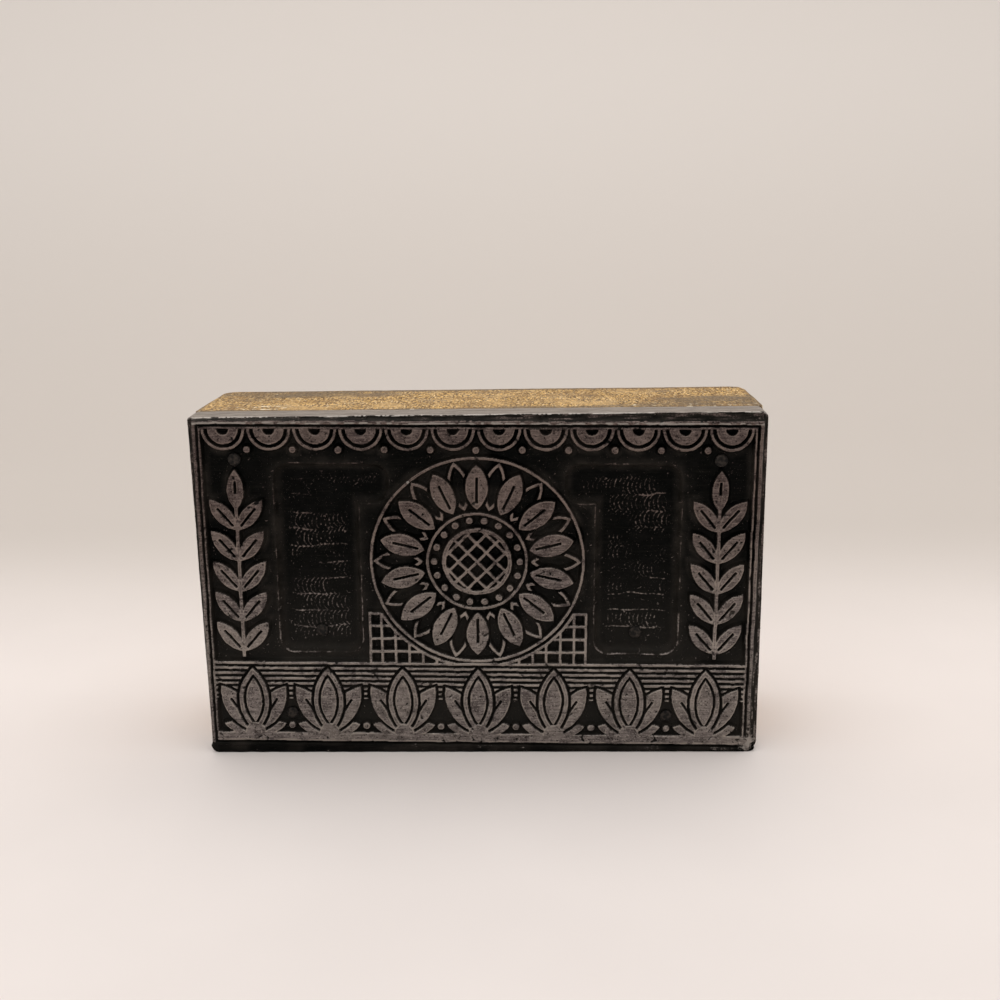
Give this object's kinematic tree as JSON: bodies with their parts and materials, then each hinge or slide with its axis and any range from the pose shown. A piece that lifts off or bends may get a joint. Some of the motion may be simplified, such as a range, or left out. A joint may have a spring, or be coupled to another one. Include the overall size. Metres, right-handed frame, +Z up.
{
  "type": "printing block",
  "caption": "Letterpress printing block: a relief metal plate with a floral ornament, nailed on an end-grain hardwood mount, type high.",
  "frame": {"origin": "middle of the long edge that the block stands on, at the bottom centre of its box", "axes": "+X along the long edge, to the right as the printing face is seen; +Y from the printing face to the foot; +Z up the face"},
  "size_m": [0.0816, 0.0234, 0.051],
  "materials": {
    "mount_wood": "worn end grain, golden brown with grey ink stains",
    "backing_alloy": "planed lead alloy, dull light grey",
    "inked_face": "black dried ink in the low parts, rubbed mauve-grey metal on the printing surface",
    "brad_steel": "dark steel, tarnished brown"
  },
  "bodies": {
    "root": {"wood_block": "mount_wood", "backing_metal": "backing_alloy", "face_shell": "inked_face", "brads": "brad_steel"}
  },
  "joints": []
}
